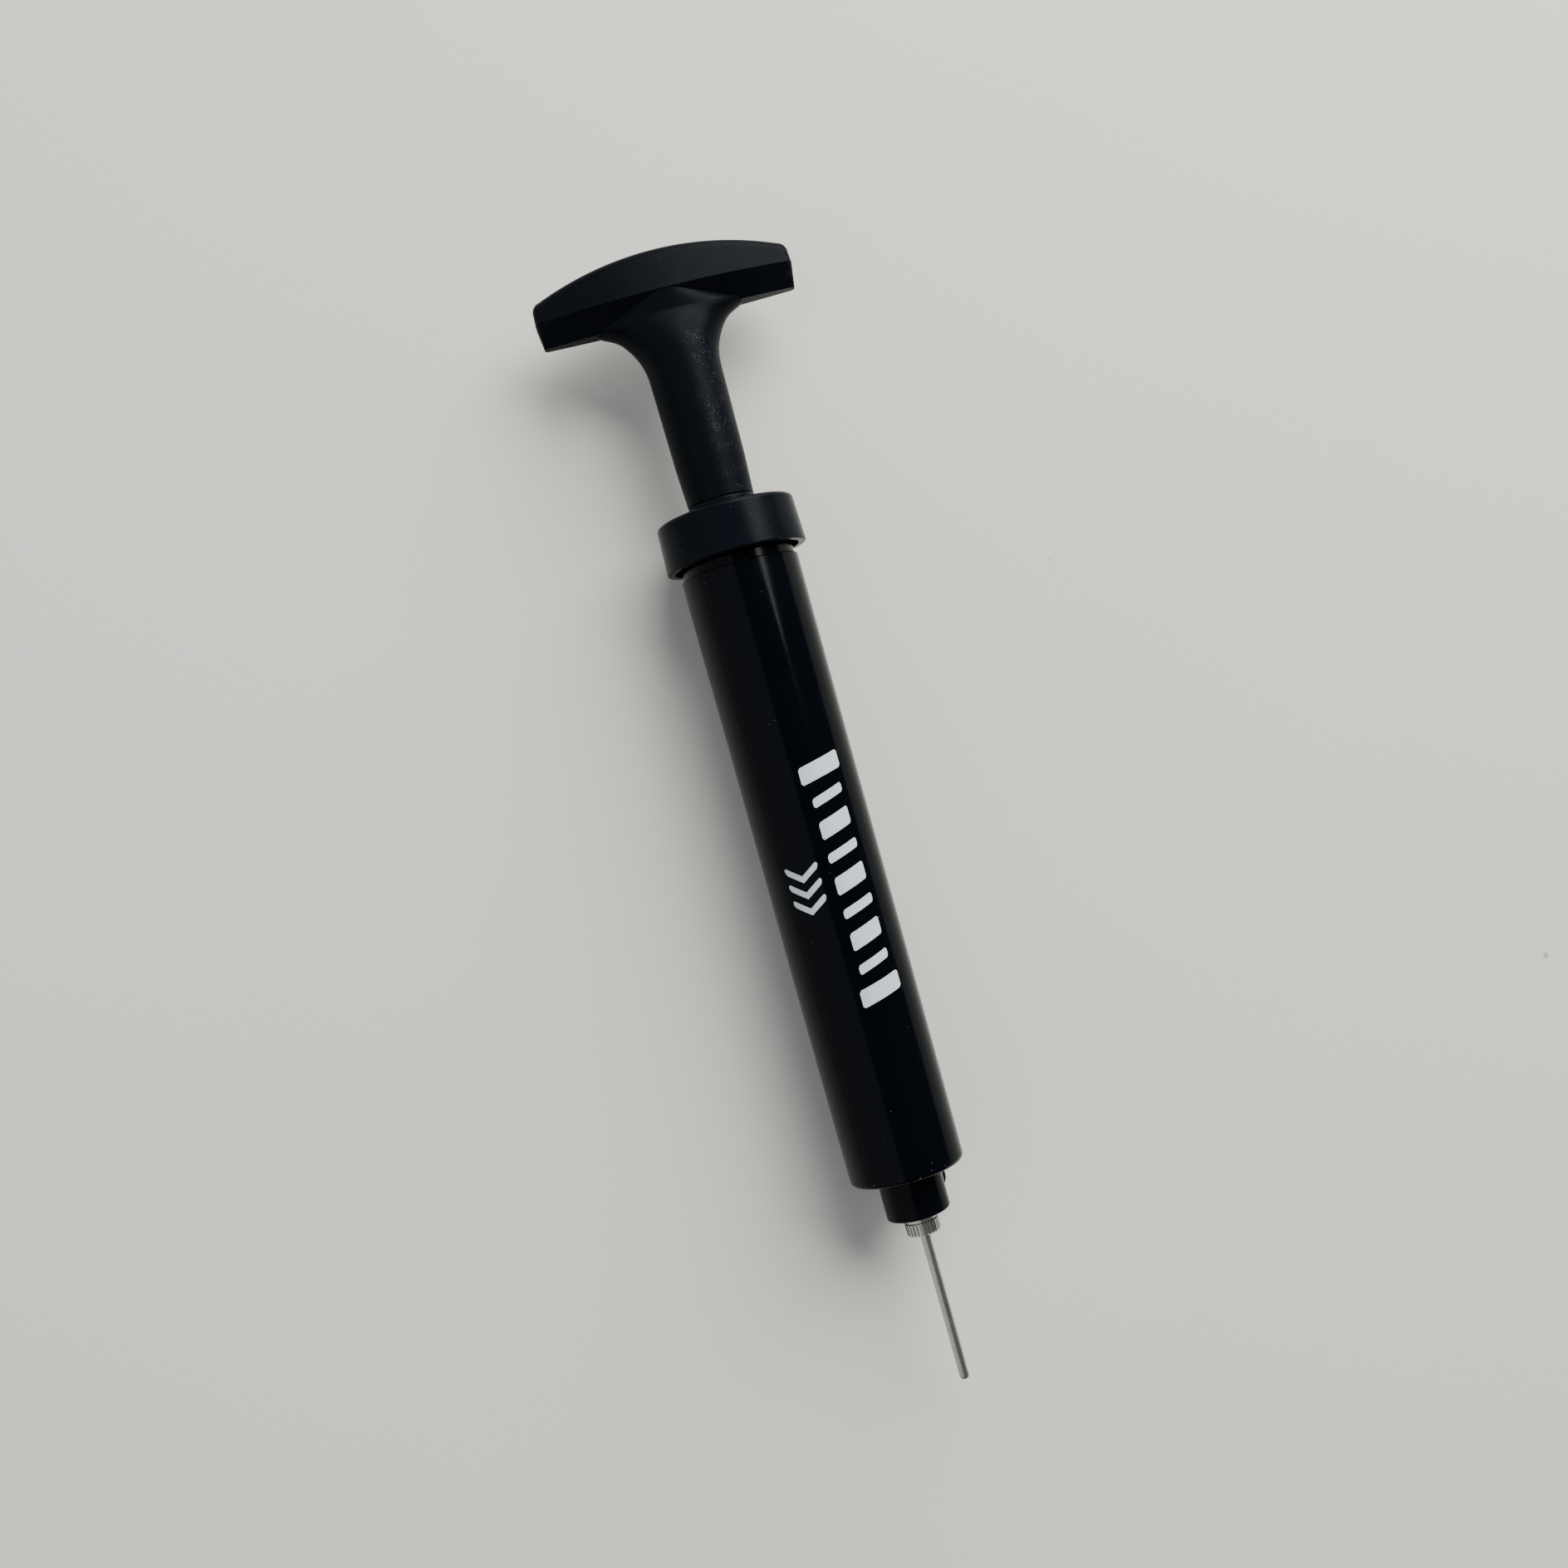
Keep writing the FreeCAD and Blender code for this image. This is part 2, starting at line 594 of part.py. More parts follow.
def build_cap():
    """Screw cap with a raised hub; its origin is the lower edge of the skirt."""
    body = new_body("cap", CAP_BOTTOM)
    top = dim("cap_height")
    hub_top = top + dim("hub_height")
    inside = dim("cap_radius") - dim("cap_skirt")
    ceiling = top - dim("cap_plate")
    bush_hole = dim("bush_radius") + dim("seated_fit")
    bush_room = ceiling + dim("bush_length") + dim("wiper_gap")
    wiper_hole = dim("wiper_radius") + dim("seated_fit")
    shell = turn(
        body,
        "shell",
        [
            (bush_hole, ceiling),
            (inside, ceiling),
            (inside, 0),
            (dim("cap_radius"), 0),
            (dim("cap_top_radius"), top),
            (dim("hub_radius"), top),
            (dim("hub_radius"), hub_top),
            (wiper_hole, hub_top),
            (wiper_hole, hub_top - dim("wiper_height") - dim("wiper_gap")),
            (wiper_hole + dim("wiper_funnel"), bush_room),
            (bush_hole, bush_room),
        ],
    )
    top_rim = ring_edge(dim("cap_top_radius"), top)
    rim = soften(body, "top_round", shell, dim("cap_edge"), top_rim)
    hub_rim = ring_edge(dim("hub_radius"), hub_top)
    hub = soften(body, "hub_round", rim, dim("hub_round"), hub_rim)
    soften(body, "skirt_round", hub, dim("skirt_round"), ring_edge(dim("cap_radius"), ZERO))
    wall = inside + dim("thread_sink")
    crest = dim("neck_radius") + dim("cap_bite")
    section = ridge(wall, crest, dim("cap_thread_start"))
    section.reverse()
    wind(body, "inner_thread", section, dim("thread_pitch"), dim("cap_thread_climb"))


def bar_section(body, name, height, half_length, half_width, bow, corner):
    """End view of the T bar at one height: bowed faces, short flat ends, round corners."""
    sketch = new_sketch(body, name, "XY_Plane", height)
    bow_centre = bow - half_width
    reach = half_length - corner
    rise = root((bow - corner) * (bow - corner) - reach * reach) - bow_centre
    spread = bow / (bow - corner)
    tangent_x = reach * spread
    tangent_y = (rise + bow_centre) * spread - bow_centre
    outline = []
    for sign_x, sign_y in ((1, 1), (-1, 1), (-1, -1), (1, -1)):
        side = (half_length * sign_x, rise * sign_y)
        face = (tangent_x * sign_x, tangent_y * sign_y)
        first, second = (side, face) if sign_x * sign_y > 0 else (face, side)
        outline.append((first, second))
    corners = []
    for index, (first, second) in enumerate(outline):
        if index % 2 == 1:
            corners.append((first[0], first[1], bow, -1))
        else:
            corners.append(first)
        corners.append((second[0], second[1], corner, -1))
    draw_outline(sketch, corners)
    return sketch


def oval_section(body, name, height, half_length, half_width):
    """An ellipse around the pump axis; half_length lies along the T bar."""
    sketch = new_sketch(body, name, "XY_Plane", height)
    far_x = FreeCAD.Vector(half_length.value, 0, 0)
    far_y = FreeCAD.Vector(0, half_width.value, 0)
    sketch.addGeometry(Part.Ellipse(far_x, far_y, FreeCAD.Vector(0, 0, 0)))
    sketch.exposeInternalGeometry(0)
    sketch.addConstraint(Sketcher.Constraint("Coincident", 0, 3, -1, 1))
    sketch.addConstraint(Sketcher.Constraint("Horizontal", 1))
    long_way = sketch.addConstraint(Sketcher.Constraint("Distance", 1, (half_length * 2).value))
    bind(sketch, long_way, half_length * 2)
    short_way = sketch.addConstraint(Sketcher.Constraint("Distance", 2, (half_width * 2).value))
    bind(sketch, short_way, half_width * 2)
    return sketch


def loft(body, name, profile, sections, ruled):
    """A solid through a row of closed outlines."""
    feature = body.newObject("PartDesign::AdditiveLoft", name)
    feature.Profile = profile
    feature.Sections = sections
    feature.Ruled = ruled
    return feature


def build_bar(body, underside, crease):
    """The T bar itself: a crease all round and an arched top."""
    half = dim("bar_half_length")
    half_width = dim("bar_half_width")
    over = crease + dim("bar_mid_rise") + dim("rib_root")
    low_width = half_width - dim("bar_lower") * dim("keel_lean")
    top_width = half_width - (over - crease) * dim("crown_lean")
    bow = dim("bar_bow_radius")
    corner = dim("bar_corner")
    low_half = half - dim("keel_taper")
    low_bow = dim("keel_bow_radius")
    low_corner = dim("keel_corner")
    low = bar_section(body, "low_section", underside, low_half, low_width, low_bow, low_corner)
    middle = bar_section(body, "crease_section", crease, half, half_width, bow, corner)
    top_half = half - dim("crown_taper")
    top = bar_section(body, "top_section", over, top_half, top_width, bow, corner)
    loft(body, "lower_half", low, [middle], True)
    loft(body, "upper_half", middle, [top], True)
    # The top is one arc from end to end: its radius follows from the two rises.
    drop = dim("bar_mid_rise") - dim("bar_end_rise")
    arch = (half * half + drop * drop) / (drop * 2.0)
    far = half + dim("bar_corner")
    far_rise = root(arch * arch - far * far) - arch + dim("bar_mid_rise")
    arched = slab(
        body,
        "arched_top",
        [
            (-far, crease + far_rise),
            (far, crease + far_rise, arch, 1),
            (far, over + dim("bar_corner")),
            (-far, over + dim("bar_corner")),
        ],
        "XZ_Plane",
        half_width * 3.0,
        cut=True,
    )
    corner_top = (crease + dim("bar_end_rise") + dim("bar_corner")).value

    def on_arch(edge):
        box = edge.BoundBox
        upright = box.ZMax < corner_top and box.ZLength > dim("bar_corner").value
        return box.ZMin > (crease + dim("bar_corner") * 0.5).value and not upright

    return soften(body, "top_round", arched, dim("crown_round"), on_arch)


def build_webs(body, foot, underside, crease):
    """The stem spreads into the T bar: its lower edges are quarter ellipses."""
    stem = dim("stem_top_radius")
    ovals = []
    for number, part in enumerate((0.2, 0.4, 0.7, 0.88, 0.97), start=1):
        flare = 1 - math.sqrt(1 - part ** 2)
        reach = stem + dim("web_spread") * flare
        thick = stem - dim("web_thinning") * part ** 3
        climb = foot + dim("web_height") * part
        ovals.append(oval_section(body, "web_section_" + str(number), climb, reach, thick))
    widest = stem + dim("web_spread") * 0.86
    thinnest = stem - dim("web_thinning")
    buried = underside + dim("web_bury")
    top = oval_section(body, "web_top", buried, widest, thinnest)
    column = new_sketch(body, "web_foot", "XY_Plane", foot)
    middle = FreeCAD.Vector(0, 0, 0)
    column.addGeometry(Part.Circle(middle, FreeCAD.Vector(0, 0, 1), stem.value))
    column.addConstraint(Sketcher.Constraint("Coincident", 0, 3, -1, 1))
    bind(column, column.addConstraint(Sketcher.Constraint("Radius", 0, stem.value)), stem)
    loft(body, "webs", column, ovals + [top], False)
    front = dim("stem_crease_radius")
    end = oval_section(body, "web_end", crease, front + dim("web_bury"), front)
    return loft(body, "column_top", top, [end], False)


def build_handle():
    """T handle: creased bar and a tapered stem that spreads into it."""
    body = new_body("handle", STEM_FOOT)
    underside = dim("stem_height")
    crease = underside + dim("bar_lower")
    foot = underside - dim("web_height")
    build_bar(body, underside, crease)
    body.Tip = build_webs(body, foot, underside, crease)
    tip = dim("stem_foot_round")
    turn(
        body,
        "stem",
        [
            (0, 0),
            (dim("stem_foot_radius") - tip, 0),
            (dim("stem_foot_radius"), tip, tip, -1),
            (dim("stem_waist_radius"), dim("stem_flare")),
            (dim("stem_top_radius"), foot),
            (0, foot),
        ],
    )

    socket = dim("rod_radius") + dim("seated_fit")
    turn(
        body,
        "rod_socket",
        [
            (0, 0),
            (socket, 0),
            (socket, dim("rod_grip")),
            (0, dim("rod_grip") + dim("socket_point")),
        ],
        groove=True,
    )


def build_rod():
    """Bright steel rod; its origin is the turned-down end inside the piston."""
    body = new_body("rod", ROD_END)
    radius = dim("rod_radius")
    shoulder = PISTON_BACK + dim("end_play") / 2.0 - ROD_END
    end = STEM_FOOT + dim("rod_grip") - dim("rod_gap") - ROD_END
    outside = turn(
        body,
        "outside",
        [
            (0, 0),
            (dim("journal_radius"), 0),
            (dim("journal_radius"), shoulder),
            (radius, shoulder),
            (radius, end),
            (0, end),
        ],
    )
    soften(body, "end_bevel", outside, dim("rod_bevel"), ring_edge(radius, end), bevel=True)
    for number in range(4):
        low = STEM_FOOT + dim("groove_start") + dim("groove_pitch") * number - ROD_END
        high = low + dim("groove_width")
        floor = radius - dim("groove_depth")
        outer = radius + dim("groove_depth")
        section = [(floor, low), (outer, low), (outer, high), (floor, high)]
        turn(body, "grip_groove_" + str(number + 1), section, groove=True)
    tapped = dim("screw_radius") + dim("seated_fit")
    depth = dim("screw_length") + dim("screw_hole_spare")
    section = [(0, 0), (tapped, 0), (tapped, depth), (0, depth + dim("screw_hole_point"))]
    turn(body, "screw_hole", section, groove=True)


def build_piston_body():
    """Moulded disc behind the cup: two rims with air notches and a waist between."""
    body = new_body("piston_body", CUP_BACK)
    height = dim("piston_height")
    inner = dim("journal_radius") + dim("running_fit")
    outer = dim("piston_radius")
    waist = outer - dim("waist_depth")
    land = dim("land_height")
    shell = turn(
        body,
        "disc",
        [
            (inner, 0),
            (outer, 0),
            (outer, land),
            (waist, land),
            (waist, height - land),
            (outer, height - land),
            (outer, height),
            (inner, height),
        ],
    )
    soften(body, "rim_round", shell, dim("moulded_round"), ring_edge(outer, height))
    notch = drill(body, "air_notch", outer, ZERO, dim("notch_radius"), -land, height + land)
    around(body, "air_notches", notch, dim("notch_count"))


def build_piston_cup():
    """Rubber cup whose lip points at the closed end of the barrel."""
    body = new_body("piston_cup", LIP)
    height = dim("cup_height")
    outer = dim("cup_radius")
    lip = dim("cup_lip")
    web = height - dim("cup_base")
    inner = dim("journal_radius") + dim("running_fit")
    turn(
        body,
        "cup",
        [
            (inner, height),
            (inner, web),
            (outer - lip * 2.5, web),
            (outer - lip, web - lip * 1.4, lip * 1.6, 1),
            (outer - lip * 0.7, lip * 0.5),
            (outer - lip * 0.3, 0),
            (outer, lip * 0.3),
            (outer, lip),
            (outer - lip * 0.3, height - lip * 1.7),
            (outer - lip * 2.0, height, lip * 1.8, -1),
        ],
    )


def build_cup_retainer():
    """Moulded washer that clamps the flat of the cup."""
    body = new_body("cup_retainer", CUP_BACK - dim("cup_base") - dim("retainer_height"))
    inner = dim("journal_radius") + dim("running_fit")
    outer = dim("retainer_radius")
    ring = tube(body, "ring", inner, outer, ZERO, dim("retainer_height"))
    soften(body, "rim_round", ring, dim("moulded_round"), ring_edge(outer, ZERO))


def build_piston_washer():
    """Steel washer between the screw head and the rod end."""
    body = new_body("piston_washer", ROD_END - dim("washer_height"))
    bevel = dim("washer_bevel")
    inner = dim("screw_radius") + bevel
    outer = dim("washer_radius")
    ring = tube(body, "ring", inner, outer, ZERO, dim("washer_height"))
    soften(body, "rim_bevel", ring, bevel, ring_edge(outer, ZERO), bevel=True)


def build_piston_screw():
    """Pan head screw up into the rod end."""
    head = dim("screw_head_height")
    body = new_body("piston_screw", ROD_END - dim("washer_height") - head)
    shank = turn(
        body,
        "screw",
        [
            (0, 0),
            (dim("screw_head_radius"), 0),
            (dim("screw_head_radius"), head),
            (dim("screw_radius"), head),
            (dim("screw_radius"), head + dim("screw_length")),
            (0, head + dim("screw_length")),
        ],
    )
    head_rim = ring_edge(dim("screw_head_radius"), ZERO)
    soften(body, "head_round", shank, dim("screw_head_round"), head_rim)
    half = dim("screw_slot_length") / 2.0
    depth = dim("screw_slot_depth")
    outline = [(-half, -depth), (half, -depth), (half, depth), (-half, depth)]
    for name, quarter in (("slot_one", 0), ("slot_two", 90)):
        width = dim("screw_slot_width")
        slot = slab(body, name, outline, "XZ_Plane", width, cut=True)
        swing(slot.Profile[0], as_size(quarter))


def build_bumper_ring():
    """Rubber ring that lands under the guide bush at full pull."""
    body = new_body("bumper_ring", PISTON_BACK)
    inner = dim("rod_radius") + dim("running_fit")
    outer = dim("bumper_radius")
    height = dim("bumper_height")
    ring = tube(body, "ring", inner, outer, ZERO, height)
    soften(body, "rim_round", ring, dim("bumper_round"), ring_edge(outer, height))


def build_guide_bush():
    """Flanged bearing for the rod, with air slots along its bore."""
    flange = dim("bush_flange")
    body = new_body("guide_bush", CAP_TOP - dim("cap_plate") - flange)
    height = flange + dim("bush_length")
    inner = dim("rod_radius") + dim("running_fit")
    turn(
        body,
        "sleeve",
        [
            (inner, 0),
            (dim("bush_flange_radius"), 0),
            (dim("bush_flange_radius"), flange),
            (dim("bush_radius"), flange),
            (dim("bush_radius"), height),
            (inner, height),
        ],
    )
    centre = inner + dim("air_slot_sink")
    radius = dim("air_slot_radius")
    slot = drill(body, "air_slot", centre, ZERO, radius, -flange, height + flange)
    around(body, "air_slots", slot, dim("air_slot_count"))


def build_rod_wiper():
    """Felt ring in the top of the cap hub."""
    height = dim("wiper_height")
    body = new_body("rod_wiper", STEM_FOOT - height - dim("wiper_gap") / 2.0)
    inner = dim("rod_radius") + dim("running_fit")
    tube(body, "ring", inner, dim("wiper_radius"), ZERO, height)


def build_cap_gasket():
    """Flat rubber ring between the barrel mouth and the cap."""
    body = new_body("cap_gasket", MOUTH)
    inner = dim("bore_radius") - dim("gasket_overlap")
    outer = dim("neck_radius") + dim("gasket_reach")
    tube(body, "ring", inner, outer, ZERO, dim("gasket_thickness"))


def build_thread_insert():
    """Fluted brass insert in the boss; its bore is a plain stand-in for the thread."""
    body = new_body("thread_insert", dim("insert_sink"))
    height = dim("insert_length")
    bevel = dim("insert_bevel")
    outer = dim("insert_radius")
    inner = dim("needle_thread_radius") + dim("insert_play")
    section = [(inner + bevel, 0), (outer, 0), (outer, height), (inner, height), (inner, bevel)]
    turn(body, "ring", section)
    centre = outer + dim("flute_sink")
    low = dim("flute_end")
    flute = drill(body, "flute", centre, ZERO, dim("flute_radius"), low, height - low)
    around(body, "flutes", flute, dim("flute_count"))


def build_valve_cage():
    """Small perforated disc that carries the valve spring."""
    body = new_body("valve_cage", INSERT_TOP)
    radius = dim("chamber_radius") - dim("seated_fit")
    height = dim("cage_height")
    turn(body, "disc", [(0, 0), (radius, 0), (radius, height), (0, height)])
    circle = dim("flow_hole_circle")
    hole = drill(
        body, "flow_hole", circle, ZERO, dim("flow_hole_radius"), -height, height * 2.0
    )
    around(body, "flow_holes", hole, dim("flow_hole_count"))


def build_valve_seat():
    """Rubber ring the ball shuts against."""
    body = new_body("valve_seat", SEAT_BOTTOM)
    radius = dim("chamber_radius") - dim("seated_fit")
    tube(body, "ring", dim("port_radius"), radius, ZERO, dim("seat_height"))


def ball_cap(radius):
    """Height of the ball's surface above its centre, at a radius from the axis."""
    return root(dim("ball_radius") * dim("ball_radius") - radius * radius)


def ball_centre():
    """Station of the ball's centre when it rests on the rim of the seat."""
    return SEAT_BOTTOM - dim("ball_gap") - ball_cap(dim("port_radius"))


def build_valve_ball():
    """Steel ball of the outlet check valve."""
    body = new_body("valve_ball", ball_centre())
    radius = dim("ball_radius")
    turn(body, "ball", [(0, -radius), (radius, 0, radius, -1), (0, radius, radius, -1)])


def build_valve_spring():
    """Open coil between the cage and the ball."""
    body = new_body("valve_spring", CAGE_TOP)
    wire = dim("spring_wire")
    centre = wire + dim("spring_gap")
    sketch = new_sketch(body, "wire_section", "XZ_Plane")
    place = FreeCAD.Vector(dim("spring_radius").value, centre.value, 0)
    sketch.addGeometry(Part.Circle(place, FreeCAD.Vector(0, 0, 1), wire.value))
    bind(sketch, sketch.addConstraint(Sketcher.Constraint("Radius", 0, wire.value)), wire)
    pin(sketch, "DistanceX", 0, 3, dim("spring_radius"))
    pin(sketch, "DistanceY", 0, 3, centre)
    room = ball_centre() - CAGE_TOP - ball_cap(dim("spring_radius"))
    climb = room - wire * 2.0 - dim("spring_room")
    coil(body, "coil", sketch, climb / dim("spring_turns"), climb)


def build_needle_washer():
    """Rubber ring squeezed between the hub collar and the insert."""
    gap = dim("seated_fit")
    body = new_body("needle_washer", gap)
    inner = dim("needle_thread_radius") + dim("washer_play")
    outer = dim("washer_outside")
    ring = tube(body, "ring", inner, outer, ZERO, dim("insert_sink") - gap * 2.0)
    soften(body, "rim_round", ring, dim("needle_washer_round"), ring_edge(outer, ZERO))


def build_needle_hub():
    """Plain collar, knurled grip and threaded stub; its origin is the grip's lower end."""
    grip = dim("knurl_height")
    height = dim("collar_height") + grip
    body = new_body("needle_hub", -height)
    stub = height + INSERT_TOP - dim("stub_gap")
    crest = dim("needle_thread_radius")
    core = crest - dim("needle_thread_depth")
    bore = dim("tube_radius") + dim("seated_fit")
    seat = bore - dim("tube_neck")
    bevel = dim("knurl_bevel")
    knurl = dim("knurl_radius")
    turn(
        body,
        "solid",
        [
            (bore, 0),
            (knurl - bevel, 0),
            (knurl, bevel),
            (knurl, grip - dim("knurl_shoulder")),
            (dim("collar_radius"), grip),
            (dim("collar_radius"), height),
            (core, height),
            (core, stub),
            (dim("tube_bore"), stub),
            (dim("tube_bore"), height + dim("tube_sunk") + dim("running_fit")),
            (seat, height + dim("tube_sunk") + dim("running_fit")),
            (seat, dim("running_fit")),
            (bore, dim("running_fit")),
        ],
    )
    floor = knurl - dim("knurl_depth")
    clear = knurl + dim("knurl_depth")
    low = -dim("knurl_shoulder")
    groove = slab(
        body,
        "knurl_groove",
        [(floor, low), (clear, low), (clear, grip), (floor, grip)],
        "XZ_Plane",
        dim("knurl_groove"),
        cut=True,
    )
    pattern = body.newObject("PartDesign::PolarPattern", "knurl_grooves")
    pattern.Originals = [groove]
    pattern.Axis = (groove.Profile[0], ["V_Axis"])
    pattern.Angle = 360
    pattern.Occurrences = int(dim("knurl_count").value)
    pattern.setExpression("Occurrences", dim("knurl_count").formula)
    body.Tip = pattern
    start = height + dim("needle_thread_start")
    foot = dim("needle_thread_foot")
    land = dim("needle_thread_land")
    slope = (foot - land) / 2.0
    inside = core - dim("washer_play")
    section = [
        (inside, start),
        (crest, start + slope),
        (crest, start + slope + land),
        (inside, start + foot),
    ]
    climb = stub - start - foot - dim("knurl_shoulder")
    wind(body, "thread", section, dim("needle_thread_pitch"), climb)


def build_needle_tube():
    """Thin tube with a rounded tip, an end hole and a side port; its origin is the tip."""
    body = new_body("needle_tube", -dim("tube_reach"))
    sunk_end = dim("tube_reach") + dim("tube_sunk")
    radius = dim("tube_radius")
    hole = dim("tip_hole")
    nose = radius - hole
    neck = radius - dim("tube_neck")
    mouth = dim("tube_reach") - dim("collar_height") - dim("knurl_height")
    turn(
        body,
        "tube",
        [
            (hole, 0, nose, 1),
            (hole, dim("tip_wall")),
            (dim("tube_bore"), dim("tip_wall") * 2.0),
            (dim("tube_bore"), sunk_end),
            (neck, sunk_end),
            (neck, mouth),
            (radius, mouth),
            (radius, nose),
        ],
    )
    port_low = dim("port_low")
    port_high = port_low + dim("port_height")
    outside = -radius - dim("tip_wall")
    slab(
        body,
        "side_port",
        [(outside, port_low), (-hole, port_low), (-hole, port_high), (outside, port_high)],
        "XZ_Plane",
        dim("port_width"),
        cut=True,
    )


def write_parts():
    """Check every shape, then write one STEP file per sub-part."""
    doc.recompute()
    os.makedirs("parts", exist_ok=True)
    for item in doc.Objects:
        if "Invalid" in item.State or "Error" in item.State:
            raise RuntimeError(item.Name + " did not build")
    for body in doc.findObjects("PartDesign::Body"):
        shape = body.Shape
        if shape.isNull() or not shape.isValid() or len(shape.Solids) != 1:
            raise RuntimeError(body.Label + " is not one sound solid")
        shape.exportStep("parts/" + body.Label + ".step")
        print(body.Label, round(shape.Volume, 1), "mm3")


fill_sheet()
build_barrel()
build_cap()
build_handle()
build_rod()
build_piston_body()
build_piston_cup()
build_cup_retainer()
build_piston_washer()
build_piston_screw()
build_bumper_ring()
build_guide_bush()
build_rod_wiper()
build_cap_gasket()
build_thread_insert()
build_valve_cage()
build_valve_seat()
build_valve_ball()
build_valve_spring()
build_needle_washer()
build_needle_hub()
build_needle_tube()
write_parts()
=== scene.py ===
import bpy, bmesh, math
from mathutils import Matrix, Vector


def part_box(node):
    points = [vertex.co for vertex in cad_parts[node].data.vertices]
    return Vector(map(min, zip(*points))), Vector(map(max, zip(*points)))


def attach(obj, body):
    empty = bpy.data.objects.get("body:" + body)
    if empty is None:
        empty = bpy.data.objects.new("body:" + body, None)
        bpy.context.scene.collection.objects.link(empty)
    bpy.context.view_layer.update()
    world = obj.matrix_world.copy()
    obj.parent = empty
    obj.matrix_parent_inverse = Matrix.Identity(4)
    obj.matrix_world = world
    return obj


# A hand pump for sports balls. Y runs along the pump towards the T handle, X along the
# T bar and Z is up; the table is Z = 0. Lengths are in metres.

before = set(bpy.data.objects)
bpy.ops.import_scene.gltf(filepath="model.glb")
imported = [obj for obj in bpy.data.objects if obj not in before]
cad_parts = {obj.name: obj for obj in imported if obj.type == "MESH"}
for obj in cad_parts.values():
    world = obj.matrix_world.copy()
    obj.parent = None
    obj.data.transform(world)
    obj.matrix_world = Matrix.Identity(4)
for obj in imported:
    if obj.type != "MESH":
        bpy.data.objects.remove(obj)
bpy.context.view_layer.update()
MM = 0.001

# Places on the object, from the frame
barrel_low, barrel_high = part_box("barrel")
cap_low, cap_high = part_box("cap")
handle_low, handle_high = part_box("handle")
AXIS_Z = (cap_low.z + cap_high.z) / 2
BOSS_END = barrel_low.y
BARREL_RADIUS = 13.2 * MM
SHOULDER_Y = BOSS_END + 9.8 * MM
PRINT_Y = BOSS_END + 76.6 * MM
AIM_Y = BOSS_END + 100 * MM
AIM_SIDE = 3.4 * MM

# How strongly each black plastic shines. These are fitted to the look under the lights
# below and are far under a real plastic's 0.5: raise them for use under another light.
HANDLE_SHINE = 0.03
CAP_SHINE = 0.04
BARREL_SHINE = 0.075


def new_material(name, roughness=0.5, metallic=0.0):
    """A material with its shader; returns the material, its nodes, links and shader."""
    material = bpy.data.materials.new(name)
    material.use_nodes = True
    nodes, links = material.node_tree.nodes, material.node_tree.links
    shader = nodes["Principled BSDF"]
    shader.inputs["Roughness"].default_value = roughness
    shader.inputs["Metallic"].default_value = metallic
    return material, nodes, links, shader


def paint(node, material):
    """Give one CAD node its material."""
    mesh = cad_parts[node].data
    if not mesh.materials:
        mesh.materials.append(material)
    for index in range(len(mesh.materials)):
        mesh.materials[index] = material


def build_camera():
    """Looks straight down from 0.37 m, turned so that the pump leans as it was laid.

    The whole pump is rolled a few degrees about its own axis, so in the pump's frame
    the camera stands that much to one side.
    """
    roll = math.radians(4.5)
    turn = math.radians(15.56)
    height = 0.367
    picture_width = 0.3496
    along = Vector((0, 1, 0))
    across = Vector((math.cos(roll), 0, math.sin(roll)))
    back = Vector((-math.sin(roll), 0, math.cos(roll)))
    aim = Vector((0, AIM_Y, AXIS_Z)) - across * AIM_SIDE
    top = across * math.sin(turn) + along * math.cos(turn)
    right = top.cross(back)
    camera = bpy.data.objects.new("camera", bpy.data.cameras.new("camera"))
    bpy.context.collection.objects.link(camera)
    basis = Matrix((right, top, back)).transposed()
    camera.matrix_world = Matrix.Translation(aim + back * height) @ basis.to_4x4()
    camera.data.sensor_width = 36
    camera.data.lens = camera.data.sensor_width * height / picture_width
    camera.data.clip_start = 0.01
    camera.data.clip_end = 20
    bpy.context.scene.camera = camera
    return right, top


VIEW_RIGHT, VIEW_UP = build_camera()


# Small helpers for shader nodes ------------------------------------------------------

def object_place(nodes):
    """Coordinates fixed to the object, in metres."""
    return nodes.new("ShaderNodeTexCoord").outputs["Object"]


def stretched(nodes, links, source, scale):
    """The same coordinates, multiplied per axis."""
    mapping = nodes.new("ShaderNodeMapping")
    mapping.vector_type = "TEXTURE"
    mapping.inputs["Scale"].default_value = [1 / s for s in scale]
    links.new(source, mapping.inputs["Vector"])
    return mapping.outputs["Vector"]


def noise(nodes, links, source, size, detail=3.0, rough=0.55):
    """Cloudy noise whose lumps are about size metres across."""
    texture = nodes.new("ShaderNodeTexNoise")
    texture.inputs["Scale"].default_value = 1 / size
    texture.inputs["Detail"].default_value = detail
    texture.inputs["Roughness"].default_value = rough
    links.new(source, texture.inputs["Vector"])
    return texture.outputs["Fac"]


def cells(nodes, links, source, size):
    """Distance to scattered points about size metres apart."""
    texture = nodes.new("ShaderNodeTexVoronoi")
    texture.inputs["Scale"].default_value = 1 / size
    links.new(source, texture.inputs["Vector"])
    return texture.outputs["Distance"]


def remap(nodes, links, source, low, high, out_low, out_high):
    """Stretch a value from one range to another, clamped."""
    node = nodes.new("ShaderNodeMapRange")
    node.inputs["From Min"].default_value = low
    node.inputs["From Max"].default_value = high
    node.inputs["To Min"].default_value = out_low
    node.inputs["To Max"].default_value = out_high
    links.new(source, node.inputs["Value"])
    return node.outputs["Result"]


